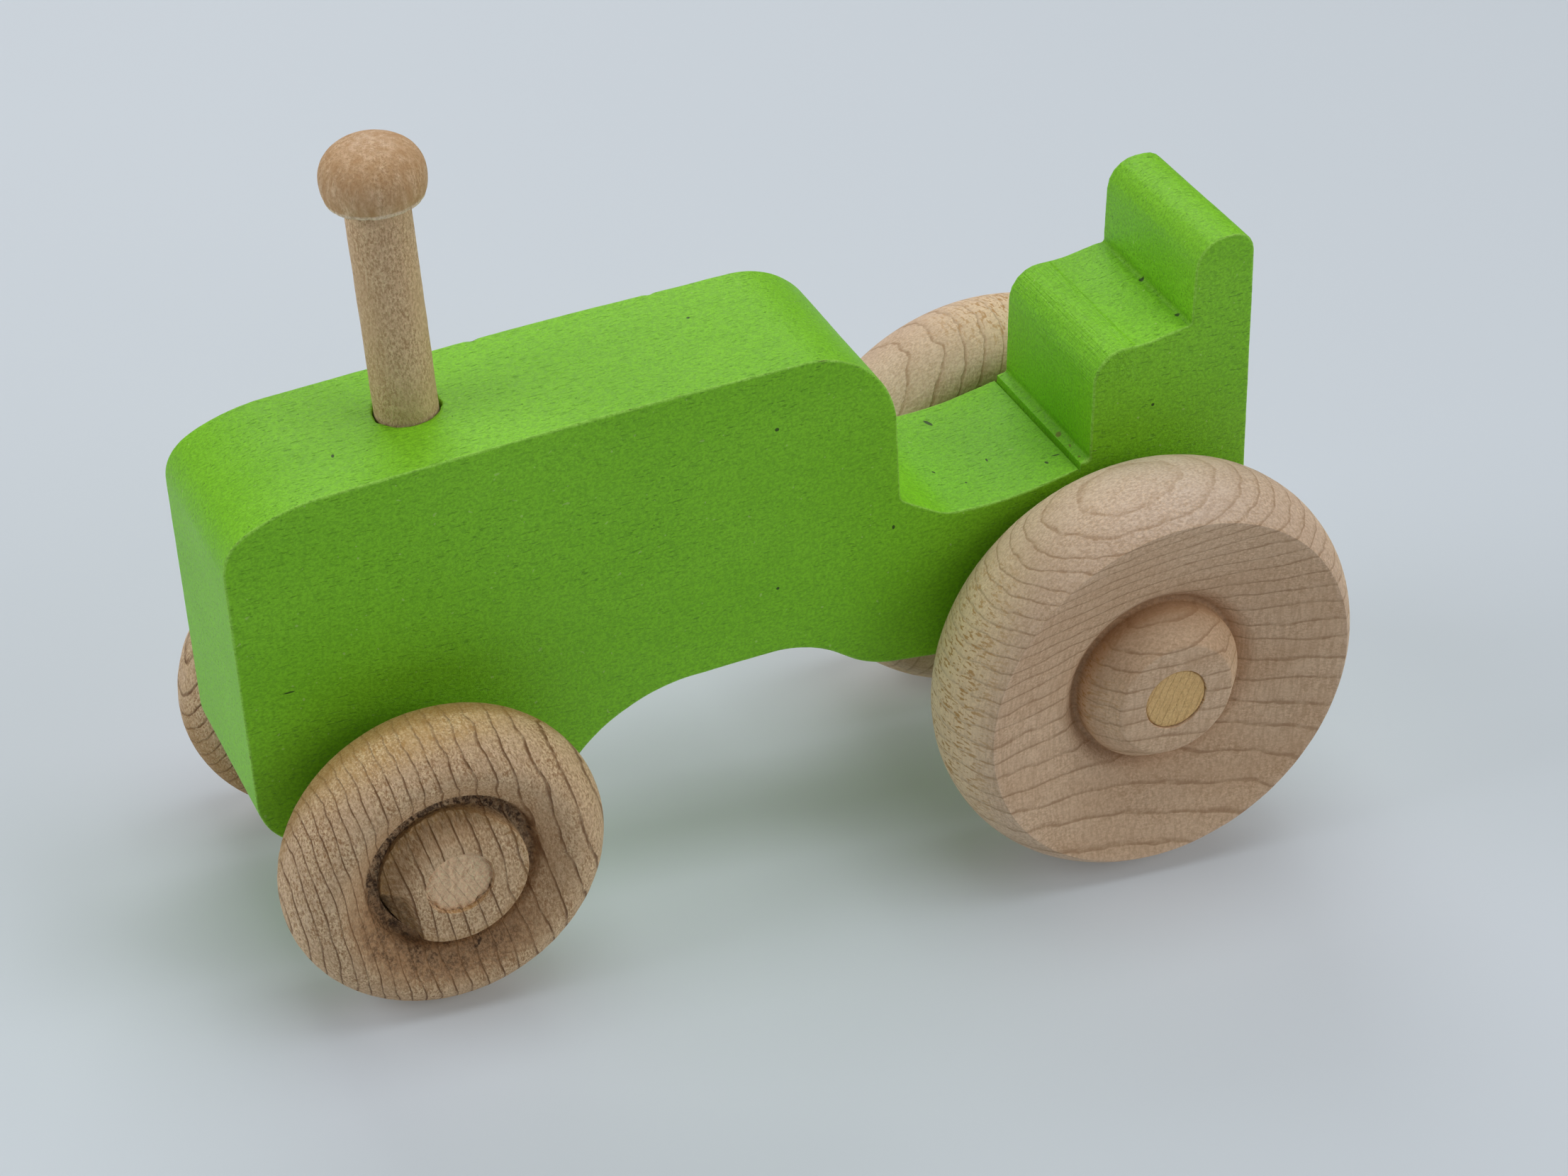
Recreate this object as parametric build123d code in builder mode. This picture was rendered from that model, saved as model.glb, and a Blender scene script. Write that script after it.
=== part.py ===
from build123d import *
import os
from math import atan2, cos, radians, sin, sqrt, tan

# Wooden toy tractor, in millimetres: a board body sawn to a tractor's outline, a mushroom peg
# for its smokestack, and turned wheels glued to two dowel axles that roll in the board.
# +X points to the nose, +Y to the driver's left and +Z up. The wheels stand on Z = 0, and the
# origin lies under the middle of the whole toy.

# Wheels and axles
rear_wheel_radius = 31.75
front_wheel_radius = 22.4
wheelbase = 103.9
dowel_radius = 4.76
bore_clearance = 0.08
rear_wheel_inner_face = 15.0  # distance from the mid-plane
front_wheel_inner_face = 16.5
rear_dowel_recess = 0.2  # dowel end below the hub face
front_dowel_proud = 0.1  # dowel end above the hub face

# Rear wheel section, widths measured outwards from the inner face
rear_width = 19.5
rear_crest = 9.5
rear_tread_radius = 12.8
rear_ring_radius = 28.0
rear_rim_rounding = 5.0  # between the flat inner face and the tread
rear_face = (  # corners from the ring to the hub's face, with their roundings
    ((14.45, 14.9), 3.5),
    ((12.3, 12.7), 0.5),
    ((12.9, 12.2), 0.3),
    ((15.3, 12.2), 2.2),
    ((rear_width, 8.8), 0.5),
)

# Front wheel section
front_width = 12.9
front_crest = 6.5
front_tread_radius = 7.5
front_ring_radius = 18.4
front_rim_rounding = 2.5
front_face = (
    ((13.9, 16.9), 2.5),
    ((11.0, 12.2), 1.6),
    ((9.2, 11.7), 0.8),
    ((9.2, 10.1), 0.5),
    ((front_width, 9.9), 0.4),
)

# Board body. U runs along the board to the nose and V across it, up from the rear axle.
board_thickness = 26.0
board_pitch = 6.2  # the small front wheels let the nose drop
nose = 125.9
tail = -22.2
sill = -9.0
hood_height = 56.2
hood_crown = 75.0  # the hood's highest point
brow = 117.3  # where the hood turns down
brow_drop = 1.2
nose_top_drop = 5.5
nose_fillet = 6.3
dashboard_top = 32.7
dashboard_foot = 31.75
riser_foot = 2.6
riser_top = 2.2
backrest_foot = -12.75
backrest_top = -13.4
seat_front_height = 44.7
seat_rear_height = 45.8
backrest_height = 58.5
floor_rear = 4.35
arch_height = 11.0
edge_softening = 0.4

# Smokestack peg, drilled a little off centre and leaning a little forward of square
peg_along_board = 95.7
peg_side_offset = -1.45
peg_forward_lean = 1.6
peg_side_lean = 0.7
peg_radius = 4.25
peg_hole_radius = 4.4
peg_depth = 15.0
peg_end_chamfer = 0.6
peg_cap_underside = 31.5
peg_cap_rim_radius = 6.45
peg_cap_rim_chamfer = 0.3
peg_cap_radius = 6.85
peg_cap_widest = 34.2
peg_cap_haunch = 5.1
peg_cap_haunch_height = 37.9
peg_top = 39.3

os.makedirs("parts", exist_ok=True)

# The rear wheel's back and the rounding at the top of the nose are the two ends of the toy.
pitch = radians(board_pitch)
brow_slope = atan2(nose_top_drop - brow_drop, nose - brow)
nose_fillet_end = hood_height - nose_top_drop - nose_fillet * tan(radians(45) - brow_slope / 2)
nose_reach = (nose - nose_fillet) * cos(pitch) + nose_fillet_end * sin(pitch) + nose_fillet
rear_axle_x = (rear_wheel_radius - nose_reach) / 2
front_axle_x = rear_axle_x + wheelbase
sides = (("left", 1), ("right", -1))

board_plane = Plane(
    origin=(rear_axle_x, 0, rear_wheel_radius),
    x_dir=(cos(pitch), 0, -sin(pitch)),
    z_dir=(0, -1, 0),
)

# The smokestack's frame: its origin is where the peg's axis leaves the hood.
peg_lean = radians(board_pitch + peg_forward_lean)
peg_axis = Vector(sin(peg_lean), -sin(radians(peg_side_lean)), cos(peg_lean)).normalized()
hood_drop = brow_drop * (peg_along_board - hood_crown) / (brow - hood_crown)
peg_foot = board_plane.from_local_coords(Vector(peg_along_board, hood_height - hood_drop, 0))
peg_frame = Plane(
    origin=(peg_foot.X, peg_side_offset, peg_foot.Z),
    x_dir=(cos(peg_lean), 0, -sin(peg_lean)),
    z_dir=peg_axis,
)

# Each corner of the board's outline, with its rounding, going from the tail over the seat,
# the cockpit and the hood to the nose, and back along the belly.
outline = (
    ((tail, sill), 3.0),
    ((tail, backrest_height), 3.2),
    ((backrest_top, backrest_height), 4.4),
    ((backrest_foot, seat_rear_height), 0.5),
    ((riser_top, seat_front_height), 5.0),
    ((riser_foot, 28.4), 0.9),
    ((floor_rear - 0.1, 27.9), 0.0),
    ((floor_rear, 27.3), 0.0),
    ((15.5, 25.3), 48.0),
    ((25.0, 25.9), 8.0),
    ((dashboard_foot, 30.2), 1.8),
    ((dashboard_top, hood_height - 0.2), 13.2),
    ((hood_crown, hood_height), 1100.0),
    ((brow, hood_height - brow_drop), 25.0),
    ((nose, hood_height - nose_top_drop), nose_fillet),
    ((nose, 6.5), 9.5),
    ((109.4, sill + 0.5), 8.0),
    ((89.5, sill + 0.5), 4.0),
    ((75.5, arch_height), 24.0),
    ((46.3, arch_height), 17.0),
    ((37.0, 4.0), 15.0),
    ((19.5, 1.3), 5.0),
    ((11.5, sill), 5.0),
)

with BuildPart() as body:
    with BuildSketch(board_plane):
        with BuildLine():
            FilletPolyline(
                [corner for corner, rounding in outline],
                radius=[rounding for corner, rounding in outline],
                close=True,
            )
        make_face()
    extrude(amount=board_thickness / 2, both=True)
    chamfer(body.faces().filter_by(Axis.Y).edges(), edge_softening)
    with BuildSketch(Plane.XZ):
        with Locations((rear_axle_x, rear_wheel_radius), (front_axle_x, front_wheel_radius)):
            Circle(dowel_radius + bore_clearance)
    extrude(amount=board_thickness, both=True, mode=Mode.SUBTRACT)
    with BuildSketch(peg_frame.offset(-peg_depth)):
        Circle(peg_hole_radius)
    extrude(amount=2 * peg_depth, mode=Mode.SUBTRACT)
body.part.label = "body"
export_step(body.part, "parts/body.step")

with BuildPart() as smokestack_peg:
    with BuildSketch(Plane(peg_frame.origin, x_dir=peg_frame.x_dir, z_dir=-peg_frame.y_dir)):
        with BuildLine():
            Polyline(
                (0, peg_top),
                (0, -peg_depth),
                (peg_radius - peg_end_chamfer, -peg_depth),
                (peg_radius, peg_end_chamfer - peg_depth),
                (peg_radius, peg_cap_underside),
                (peg_cap_rim_radius - peg_cap_rim_chamfer, peg_cap_underside),
                (peg_cap_rim_radius, peg_cap_underside + peg_cap_rim_chamfer),
            )
            TangentArc(
                (peg_cap_radius, peg_cap_widest),
                (peg_cap_rim_radius, peg_cap_underside + peg_cap_rim_chamfer),
                tangent=(0, -1),
            )
            Spline(
                (peg_cap_radius, peg_cap_widest),
                (peg_cap_haunch, peg_cap_haunch_height),
                (0, peg_top),
                tangents=((0, 1), (-1, 0)),
            )
        make_face()
    revolve(axis=Axis(peg_frame.origin, peg_axis))
smokestack_peg.part.label = "smokestack_peg"
export_step(smokestack_peg.part, "parts/smokestack_peg.step")

with BuildPart() as rear_axle:
    with BuildSketch(Plane.XZ):
        with Locations((rear_axle_x, rear_wheel_radius)):
            Circle(dowel_radius)
    extrude(amount=rear_wheel_inner_face + rear_width - rear_dowel_recess, both=True)
rear_axle.part.label = "rear_axle"
export_step(rear_axle.part, "parts/rear_axle.step")

with BuildPart() as front_axle:
    with BuildSketch(Plane.XZ):
        with Locations((front_axle_x, front_wheel_radius)):
            Circle(dowel_radius)
    extrude(amount=front_wheel_inner_face + front_width + front_dowel_proud, both=True)
front_axle.part.label = "front_axle"
export_step(front_axle.part, "parts/front_axle.step")


def turned_wheel(axle, inner_face, side, wheel_radius, crest, tread_radius, rim, ring_radius, face):
    """A wheel on one side of the toy. axle is its (X, Z); the section is drawn with X outwards
    from the inner face and Y as the radius, and the rim is tangent to the round tread."""
    plane = Plane(
        origin=(axle[0], side * inner_face, axle[1]), x_dir=(0, side, 0), z_dir=(side, 0, 0)
    )
    core = wheel_radius - tread_radius
    rim_height = core + sqrt((tread_radius - rim) ** 2 - (crest - rim) ** 2)
    meeting = atan2(rim_height - core, rim - crest)
    halfway = (meeting + radians(180)) / 2
    rim_end = (crest + tread_radius * cos(meeting), core + tread_radius * sin(meeting))
    ring = (crest + sqrt(tread_radius**2 - (ring_radius - core) ** 2), ring_radius)
    with BuildPart() as wheel:
        with BuildSketch(plane):
            with BuildLine():
                ThreePointArc(
                    (0, rim_height),
                    (rim + rim * cos(halfway), rim_height + rim * sin(halfway)),
                    rim_end,
                )
                ThreePointArc(rim_end, (crest, wheel_radius), ring)
                FilletPolyline(
                    ring,
                    *[corner for corner, rounding in face],
                    (face[-1][0][0], dowel_radius),
                    (0, dowel_radius),
                    (0, rim_height),
                    radius=[rounding for corner, rounding in face] + [0, 0],
                )
            make_face()
        revolve(axis=Axis((axle[0], 0, axle[1]), (0, 1, 0)))
    return wheel.part


for side_name, side in sides:
    rear_wheel = turned_wheel(
        (rear_axle_x, rear_wheel_radius),
        rear_wheel_inner_face,
        side,
        rear_wheel_radius,
        rear_crest,
        rear_tread_radius,
        rear_rim_rounding,
        rear_ring_radius,
        rear_face,
    )
    rear_wheel.label = f"rear_wheel_{side_name}"
    export_step(rear_wheel, f"parts/rear_wheel_{side_name}.step")

for side_name, side in sides:
    front_wheel = turned_wheel(
        (front_axle_x, front_wheel_radius),
        front_wheel_inner_face,
        side,
        front_wheel_radius,
        front_crest,
        front_tread_radius,
        front_rim_rounding,
        front_ring_radius,
        front_face,
    )
    front_wheel.label = f"front_wheel_{side_name}"
    export_step(front_wheel, f"parts/front_wheel_{side_name}.step")
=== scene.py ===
import math

import bpy
import numpy as np
from mathutils import Matrix, Vector, geometry, noise


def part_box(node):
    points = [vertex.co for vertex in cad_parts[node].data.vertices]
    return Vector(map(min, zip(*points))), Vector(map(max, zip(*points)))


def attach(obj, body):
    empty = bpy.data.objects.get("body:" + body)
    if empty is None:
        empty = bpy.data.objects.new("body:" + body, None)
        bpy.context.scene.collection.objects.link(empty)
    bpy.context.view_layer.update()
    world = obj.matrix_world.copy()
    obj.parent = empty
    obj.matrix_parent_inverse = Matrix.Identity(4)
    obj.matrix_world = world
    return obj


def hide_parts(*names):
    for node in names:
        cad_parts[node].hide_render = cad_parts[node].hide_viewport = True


# Wooden toy tractor: a painted board body, a mushroom peg for its smokestack, and four turned
# wheels on two dowels. Shapes are worked out in millimetres and turned to metres in make_piece.

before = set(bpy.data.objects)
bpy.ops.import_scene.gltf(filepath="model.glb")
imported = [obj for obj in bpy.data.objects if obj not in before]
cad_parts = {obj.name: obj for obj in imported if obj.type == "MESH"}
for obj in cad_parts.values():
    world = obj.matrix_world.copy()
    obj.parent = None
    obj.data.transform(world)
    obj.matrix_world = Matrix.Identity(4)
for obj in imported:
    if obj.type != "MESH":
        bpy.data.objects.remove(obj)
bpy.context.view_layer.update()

MM = 0.001
LEFT, RIGHT = 1, -1


# ---------------- places from the frame


def middle(node):
    """Centre of a CAD node's box, in millimetres."""
    low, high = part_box(node)
    return np.array((low + high) / 2) / MM


def reach(node):
    """Half the size of a CAD node's box, in millimetres."""
    low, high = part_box(node)
    return np.array((high - low) / 2) / MM


REAR_AXLE = middle("rear_axle")
FRONT_AXLE = middle("front_axle")
BOARD_HALF = reach("body")[1]
DOWEL_RADIUS = reach("rear_axle")[2]
BORE_CLEARANCE = 0.08
BORE_RADIUS = DOWEL_RADIUS + BORE_CLEARANCE

# The board's own frame starts at the rear axle: U runs to the nose and V up across the board.
PITCH = math.radians(6.2)
ALONG = np.array((math.cos(PITCH), 0, -math.sin(PITCH)))
ACROSS = np.array((0, 1, 0))
UPWARD = np.array((math.sin(PITCH), 0, math.cos(PITCH)))


def from_board(u, y, v):
    """Points in the toy's frame, from board coordinates."""
    parts = [np.asarray(c, float)[..., None] for c in (u, y, v)]
    return REAR_AXLE + parts[0] * ALONG + parts[1] * ACROSS + parts[2] * UPWARD


def to_board(points):
    """Board coordinates (u, y, v) of points in the toy's frame."""
    return (points - REAR_AXLE) @ np.stack([ALONG, ACROSS, UPWARD]).T


# ---------------- small helpers


def unit(vector):
    vector = np.asarray(vector, float)
    return vector / np.linalg.norm(vector)


def ease(low, high, values):
    """0 below low, 1 above high and smooth between them; low may be the larger."""
    t = np.clip((values - low) / (high - low), 0, 1)
    return t * t * (3 - 2 * t)


def rough(points, scale, seed=0.0):
    """Smooth noise from about -1 to 1 at each point; scale is in features per millimetre."""
    return np.array([noise.noise(Vector(p)) for p in points * scale + seed])


def turn(degrees):
    """Unit vector in the XZ plane, at an angle from straight up towards the nose."""
    angle = math.radians(degrees)
    return np.array((math.sin(angle), 0, math.cos(angle)))


def resample(points, step, closed):
    """Adds points so that no two neighbours are further apart than step(point)."""
    points = [np.asarray(p, float) for p in points]
    ends = points[1:] + points[:1] if closed else points[1:]
    result = []
    for start, end in zip(points, ends):
        count = max(1, math.ceil(np.linalg.norm(end - start) / step((start + end) / 2)))
        result += [start + (end - start) * k / count for k in range(count)]
    if not closed:
        result.append(points[-1])
    return np.array(result)


def rounding(before, corner, after, radius, step, flats):
    """Points of the arc that rounds a corner; flats are the shares of the arc of its facets."""
    to_before = unit(np.subtract(before, corner))
    to_after = unit(np.subtract(after, corner))
    half = math.acos(np.clip(to_before @ to_after, -1, 1)) / 2
    centre = corner + unit(to_before + to_after) * radius / math.sin(half)
    start = corner + to_before * radius / math.tan(half) - centre
    sweep = math.pi - 2 * half
    if to_before[0] * to_after[1] - to_before[1] * to_after[0] > 0:
        sweep = -sweep
    count = max(3, math.ceil(abs(sweep) * radius / step(corner)))
    angles = sweep * np.array(flats or np.linspace(0, 1, count + 1))
    return [
        centre + (
            start[0] * math.cos(a) - start[1] * math.sin(a),
            start[0] * math.sin(a) + start[1] * math.cos(a),
        )
        for a in angles
    ]


def rounded_outline(corners, step):
    """Points round a closed outline of (corner, rounding radius, facets or None)."""
    points = []
    for i, (corner, radius, flats) in enumerate(corners):
        before, after = corners[i - 1][0], corners[(i + 1) % len(corners)][0]
        if radius:
            points += rounding(before, np.array(corner), after, radius, step, flats)
        else:
            points.append(np.array(corner, float))
    return resample(points, step, closed=True)


def new_object(name, data):
    """A new object in the scene."""
    result = bpy.data.objects.new(name, data)
    bpy.context.scene.collection.objects.link(result)
    return result


def make_piece(name, points, faces, body, node, material, attributes):
    """A mesh piece that stands for a CAD node and rides on its body. Points are in millimetres."""
    mesh = bpy.data.meshes.new(name)
    mesh.from_pydata((points * MM).tolist(), [], faces)
    for title, values in attributes.items():
        kind, field = ("FLOAT_VECTOR", "vector") if values.ndim == 2 else ("FLOAT", "value")
        layer = mesh.attributes.new(title, kind, "POINT")
        layer.data.foreach_set(field, values.astype(np.float32).ravel())
    mesh.polygons.foreach_set("use_smooth", [True] * len(mesh.polygons))
    mesh.set_sharp_from_angle(angle=math.radians(50))
    mesh.materials.append(material)
    piece = new_object(name, mesh)
    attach(piece, body)
    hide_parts(node)
    return piece


def facing_out(points, faces):
    """The faces, turned round if the closed mesh is inside out."""
    corners = np.array([face[:3] for face in faces])
    a, b, c = (points[corners[:, k]] - points[0] for k in range(3))
    volume = (a * np.cross(b, c)).sum()
    return faces if volume > 0 else [face[::-1] for face in faces]


def normals_of(points, faces):
    """Unit normal at each vertex of a mesh that isn't in the scene."""
    mesh = bpy.data.meshes.new("scratch")
    mesh.from_pydata(points.tolist(), [], faces)
    mesh.update()
    found = np.zeros(len(points) * 3, np.float32)
    mesh.vertex_normals.foreach_get("vector", found)
    bpy.data.meshes.remove(mesh)
    return found.reshape(-1, 3).astype(float)


# ---------------- shader nodes


class Shader:
    """A material and short ways to add nodes to it. Values are sockets or plain numbers."""

    def __init__(self, name):
        self.material = bpy.data.materials.new(name)
        self.material.use_nodes = True
        self.tree = self.material.node_tree
        self.surface = self.tree.nodes["Principled BSDF"]

    def add(self, kind, inputs, output=0, **settings):
        node = self.tree.nodes.new(kind)
        for key, value in settings.items():
            setattr(node, key, value)
        for key, value in inputs.items():
            self.put(node.inputs[key], value)
        return node.outputs[output]

    def put(self, socket, value):
        if isinstance(value, bpy.types.NodeSocket):
            self.tree.links.new(value, socket)
        elif socket.type == "RGBA":
            socket.default_value = (*value, 1)
        else:
            socket.default_value = value

    def attribute(self, name, output="Fac"):
        return self.add("ShaderNodeAttribute", {}, output, attribute_name=name)

    def math(self, operation, a, b=0.0, clamp=False):
        inputs = {0: a, 1: b}
        return self.add("ShaderNodeMath", inputs, operation=operation, use_clamp=clamp)

    def times(self, a, b):
        return self.math("MULTIPLY", a, b)

    def plus(self, a, b):
        return self.math("ADD", a, b)

    def stretched(self, vector, factors):
        inputs = {0: vector, 1: factors}
        return self.add("ShaderNodeVectorMath", inputs, operation="MULTIPLY")

    def noise(self, vector, factors, detail=2.0, roughness=0.5):
        """Noise from 0 to 1 with the given features per millimetre along each axis."""
        inputs = {
            "Vector": self.stretched(vector, factors),
            "Scale": 1.0,
            "Detail": detail,
            "Roughness": roughness,
        }
        return self.add("ShaderNodeTexNoise", inputs)

    def ease(self, value, low, high, start=0.0, end=1.0):
        """start where value is below low, end where it is above high, smooth between."""
        inputs = {
            "Value": value,
            "From Min": low,
            "From Max": high,
            "To Min": start,
            "To Max": end,
        }
        return self.add("ShaderNodeMapRange", inputs, interpolation_type="SMOOTHSTEP")

    def mix(self, factor, a, b, blend="MIX"):
        node = self.tree.nodes.new("ShaderNodeMix")
        node.data_type = "RGBA"
        node.blend_type = blend
        self.put(node.inputs["Factor"], factor)
        for key, value in (("A", a), ("B", b)):
            socket = next(s for s in node.inputs if s.name == key and s.type == "RGBA")
            self.put(socket, value)
        return next(s for s in node.outputs if s.type == "RGBA")

    def finish(self, colour, roughness, height, relief, specular):
        """Links the surface; relief is the height's depth in millimetres."""
        inputs = {"Height": height, "Distance": relief * MM, "Strength": 1.0}
        self.put(self.surface.inputs["Base Color"], colour)
        self.put(self.surface.inputs["Roughness"], roughness)
        self.put(self.surface.inputs["Normal"], self.add("ShaderNodeBump", inputs))
        self.surface.inputs["Specular IOR Level"].default_value = specular
        return self.material


# ---------------- materials


FLECK_BROWN = (0.54, 0.28, 0.085)
GILT_BROWN = (0.40, 0.215, 0.055)
SOIL_AND_SHADE_BROWN = (0.075, 0.038, 0.018)


def tinted(colour, factors):
    """A colour with its channels multiplied by factors, and none above 1."""
    return tuple(min(1.0, a * b) for a, b in zip(colour, factors))


def growth_lines(s, timber):
    """The late wood of each growth ring, the ring's edge, and that edge broken up, all 0 to 1."""
    wander = s.noise(timber, (0.11, 0.3, 0.3), detail=3.0)
    part = s.math("FRACT", s.plus(s.attribute("ring"), s.times(wander, 0.7)))
    late = s.ease(part, 0.45, 0.97)
    edge = s.math("SUBTRACT", s.ease(part, 0.81, 0.93), s.ease(part, 0.96, 1.0))
    broken = s.ease(s.noise(timber, (0.22, 0.9, 0.9), detail=3.0), 0.3, 0.58, 0.35, 1.0)
    return late, edge, s.times(edge, broken)


def wear_and_shade_of_wood(s, colour, deep, fibre, fuzz):
    """Golden places, and warm and soiled places that are partly the wood's own tone and dirt and
    partly painted shade, from the piece's attributes, over a wood's colour.
    """
    gold = s.times(s.attribute("gold"), s.ease(fibre, 0.25, 0.7, 0.95, 0.5))
    colour = s.mix(gold, colour, GILT_BROWN)
    warm_and_shade = s.times(s.attribute("warm_and_shade"), 0.7)
    colour = s.mix(warm_and_shade, colour, tinted(deep, (0.80, 0.66, 0.52)))
    soiled_and_shaded = s.times(s.attribute("dirt_and_shade"), s.ease(fuzz, 0.42, 0.6, 0.25, 1.0))
    return s.mix(soiled_and_shaded, colour, SOIL_AND_SHADE_BROWN)


def wood(name, pale, deep, line, cut, lines, rays, grit, relief):
    """Bare wood: growth rings, rays, short fibres and end grain, with wear, painted shade and
    painted highlights, from the piece's attributes.
    timber is (along the fibres, across the rings, along the rings) and ring counts the rings.
    cut is the colour of end grain. lines, rays and grit are the strengths of the ring lines, the
    rays (flecks in end grain) and the fine texture."""
    s = Shader(name)
    timber = s.attribute("timber", "Vector")
    late, edge, broken_edge = growth_lines(s, timber)
    shade = s.noise(timber, (0.035, 0.13, 0.13), detail=3.0)
    patch = s.ease(s.noise(timber, (0.12, 0.22, 0.22), detail=2.0), 0.38, 0.62, 0.6, 1.0)
    fibre = s.noise(timber, (1.3, 2.9, 2.9), detail=3.0, roughness=0.75)
    speck = s.noise(timber, (2.2, 3.4, 3.4), detail=2.0, roughness=0.7)
    fuzz = s.noise(timber, (1.6, 1.6, 1.6), detail=4.0, roughness=0.75)
    ray = s.ease(s.noise(timber, (2.1, 0.3, 3.5), detail=1.0), 0.44, 0.62)
    fleck = s.ease(s.noise(timber, (0.6, 2.6, 0.9), detail=2.0), 0.52, 0.64)

    end = s.attribute("end")
    end_grain = s.ease(end, 0.6, 0.97)
    clear = s.ease(end, 0.6, 0.97, 1.0, 0.55)
    faded = s.times(clear, s.ease(s.attribute("bleach_and_highlight"), 0.2, 0.9, lines, lines * 0.28))
    dark_fibres = s.ease(fibre, 0.39, 0.60, grit, 0.0)
    light_specks = s.ease(speck, 0.45, 0.65, 0.0, grit * 0.8)
    dark = tinted(deep, (0.60, 0.48, 0.36))
    light = tinted(pale, (1.3, 1.3, 1.3))
    bleached_highlight = tinted(pale, (1.10, 1.25, 1.55))
    late_wood = tinted(deep, (0.82, 0.82, 0.82))

    colour = s.mix(s.ease(shade, 0.3, 0.7), pale, deep)
    # paler, bluer wood: partly bleached fibres, partly a painted highlight
    colour = s.mix(s.attribute("bleach_and_highlight"), colour, bleached_highlight)
    colour = s.mix(s.times(end_grain, 0.8), colour, cut)
    colour = s.mix(s.times(s.times(late, clear), lines * 0.5), colour, late_wood)
    colour = s.mix(s.times(dark_fibres, s.times(patch, clear)), colour, dark)
    colour = s.mix(s.times(light_specks, patch), colour, light)
    colour = s.mix(s.times(s.times(ray, clear), rays), colour, dark)
    colour = s.mix(s.times(broken_edge, faded), colour, line)
    flecks = s.times(s.times(fleck, end_grain), min(1.0, rays * 3.5))
    colour = s.mix(flecks, colour, FLECK_BROWN)
    colour = wear_and_shade_of_wood(s, colour, deep, fibre, fuzz)

    height = s.plus(s.times(fibre, 0.7), s.times(s.plus(fuzz, speck), 0.35))
    height = s.math("SUBTRACT", height, s.times(edge, 0.3))
    roughness = s.ease(fuzz, 0.3, 0.7, 0.55, 0.72)
    return s.finish(colour, roughness, height, relief, specular=0.35)


def rear_wheel_wood():
    return wood(
        "turned_maple",
        pale=(0.79, 0.575, 0.385),
        deep=(0.69, 0.47, 0.295),
        line=(0.35, 0.19, 0.09),
        cut=(1.0, 0.77, 0.50),
        lines=0.6, rays=0.26, grit=0.42, relief=0.14,
    )


def front_wheel_wood():
    return wood(
        "rough_maple",
        pale=(0.84, 0.60, 0.37),
        deep=(0.70, 0.46, 0.26),
        line=(0.22, 0.105, 0.04),
        cut=(0.76, 0.48, 0.20),
        lines=1.0, rays=0.18, grit=1.0, relief=0.32,
    )


def rear_dowel_wood():
    return wood(
        "golden_dowel",
        pale=(0.89, 0.58, 0.25),
        deep=(0.79, 0.49, 0.18),
        line=(0.40, 0.21, 0.06),
        cut=(0.89, 0.58, 0.25),
        lines=0.25, rays=0.08, grit=0.65, relief=0.2,
    )


def front_dowel_wood():
    return wood(
        "pale_dowel",
        pale=(1.0, 0.69, 0.43),
        deep=(0.95, 0.62, 0.38),
        line=(0.55, 0.35, 0.20),
        cut=(1.0, 0.69, 0.43),
        lines=0.1, rays=0.0, grit=0.75, relief=0.25,
    )


def peg_wood():
    return wood(
        "turned_birch",
        pale=(0.86, 0.60, 0.37),
        deep=(0.72, 0.48, 0.28),
        line=(0.28, 0.14, 0.06),
        cut=(0.84, 0.58, 0.36),
        lines=0.0, rays=0.10, grit=0.75, relief=0.25,
    )


def spot(s, place, centre, size, lean):
    """1 inside a small ellipsoid round a board point, fading to 0 half as far out again."""
    offset = s.add("ShaderNodeVectorMath", {0: place, 1: centre}, operation="SUBTRACT")
    turned = s.add(
        "ShaderNodeVectorRotate", {"Vector": offset, "Angle": lean}, rotation_type="Z_AXIS"
    )
    shrunk = s.stretched(turned, tuple(0.75 / x for x in size))
    length = s.add("ShaderNodeVectorMath", {0: shrunk}, "Value", operation="LENGTH")
    return s.ease(length, 1.15, 0.75)


# Marks in the paint, in board millimetres: (centre), (half sizes), lean in the U-Y plane.
DARK_MARKS = (
    ((17.0, -9.3, 25.9), (0.24, 0.72, 1.0), -0.35),  # a dark spot in the cockpit floor
    ((21.9, 2.6, 25.6), (0.13, 0.25, 1.0), -0.5),
    ((18.9, 6.8, 25.6), (0.14, 0.14, 1.0), 0.0),
    ((13.9, 3.2, 25.6), (0.12, 0.30, 1.0), 0.1),
    ((5.6, 8.2, 27.1), (0.50, 0.11, 1.0), 0.3),
    ((7.4, 8.9, 26.8), (0.16, 0.30, 1.0), -0.3),
    ((-12.4, -0.9, 45.8), (0.30, 0.30, 1.0), 0.4),
    ((-12.3, 9.6, 45.8), (0.26, 0.26, 1.0), 0.0),
    ((107.8, 4.7, 55.5), (0.16, 0.30, 1.5), 0.3),
    ((54.6, -4.6, 56.2), (0.20, 0.18, 1.5), 0.0),
    ((82.5, -12.9, 56.1), (0.55, 0.35, 0.8), 0.0),
    ((49.7, 13.0, 47.0), (0.24, 1.0, 0.22), 0.0),
    ((33.0, 13.0, 26.2), (0.17, 1.0, 0.26), 0.0),
    ((119.5, 13.0, 27.0), (0.60, 1.0, 0.10), 0.0),
    ((-7.0, 13.0, 34.5), (0.20, 1.0, 0.20), 0.0),
    ((50.5, 13.0, 21.5), (0.20, 1.0, 0.18), 0.0),
)
CHIPS = (
    ((3.6, 5.1, 28.1), (0.30, 0.48, 0.6), 0.5),
    ((3.5, 8.4, 28.1), (0.13, 0.30, 0.6), 0.2),
    ((3.6, 11.4, 28.1), (0.12, 0.20, 0.6), -0.2),
)

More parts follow.
